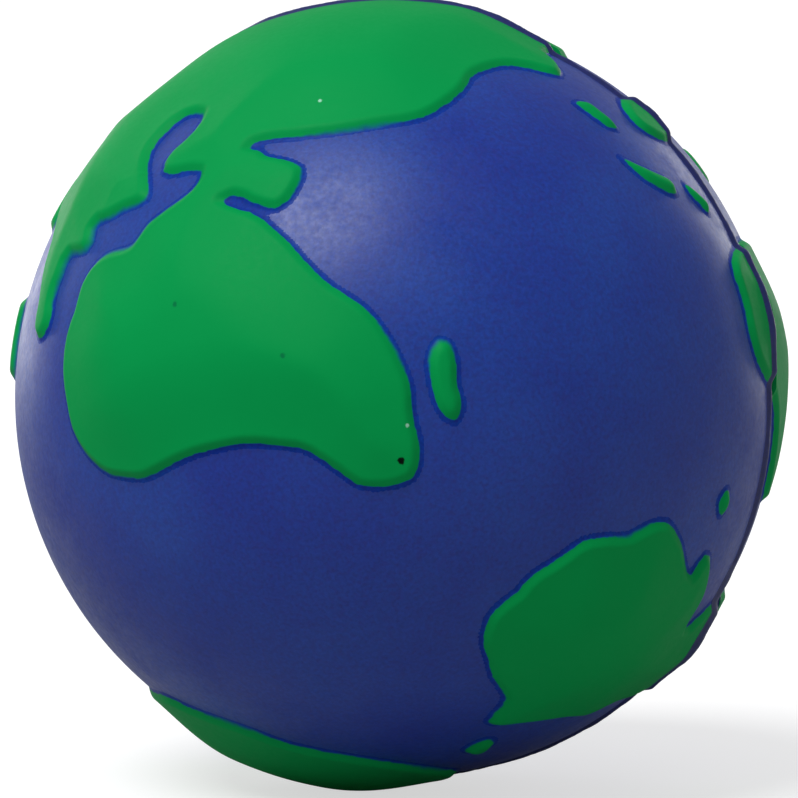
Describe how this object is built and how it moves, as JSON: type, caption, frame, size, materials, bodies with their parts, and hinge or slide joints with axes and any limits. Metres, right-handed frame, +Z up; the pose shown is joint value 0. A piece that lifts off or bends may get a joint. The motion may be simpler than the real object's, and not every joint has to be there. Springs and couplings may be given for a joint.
{
  "type": "stress ball",
  "caption": "Squeezable foam ball moulded as a globe, with low raised lands painted green over a blue skin and a weld line round it.",
  "frame": {"origin": "centre of the ball", "axes": "+Z up as the ball lies; the mould parts on the XZ plane, with the front half on the -Y side"},
  "size_m": [0.0696, 0.0698, 0.07],
  "materials": {
    "ocean_paint": "satin flexible blue paint on foam skin",
    "land_paint": "satin flexible green paint on raised lands",
    "weld_paint": "satin blue paint on the weld line",
    "foam": "open matt polyurethane foam"
  },
  "bodies": {
    "root": {"afro_eurasia_back": "land_paint", "afro_eurasia_front": "land_paint", "antarctica_back": "land_paint", "antarctica_front": "land_paint", "australia_back": "land_paint", "australia_front": "land_paint", "baffin_island": "land_paint", "borneo": "land_paint", "cuba": "land_paint", "foam_core": "foam", "great_britain": "land_paint", "greenland": "land_paint", "hawaii": "land_paint", "hispaniola": "land_paint", "iceland": "land_paint", "ireland": "land_paint", "japan": "land_paint", "java": "land_paint", "kerguelen_islet": "land_paint", "madagascar": "land_paint", "new_guinea": "land_paint", "new_zealand_north": "land_paint", "new_zealand_south": "land_paint", "north_america": "land_paint", "philippines": "land_paint", "skin_back": "ocean_paint", "skin_front": "ocean_paint", "south_america_back": "land_paint", "south_america_front": "land_paint", "south_georgia_islet": "land_paint", "sulawesi": "land_paint", "sumatra": "land_paint", "timor": "land_paint", "victoria_island": "land_paint", "weld_bead": "weld_paint"}
  },
  "joints": []
}
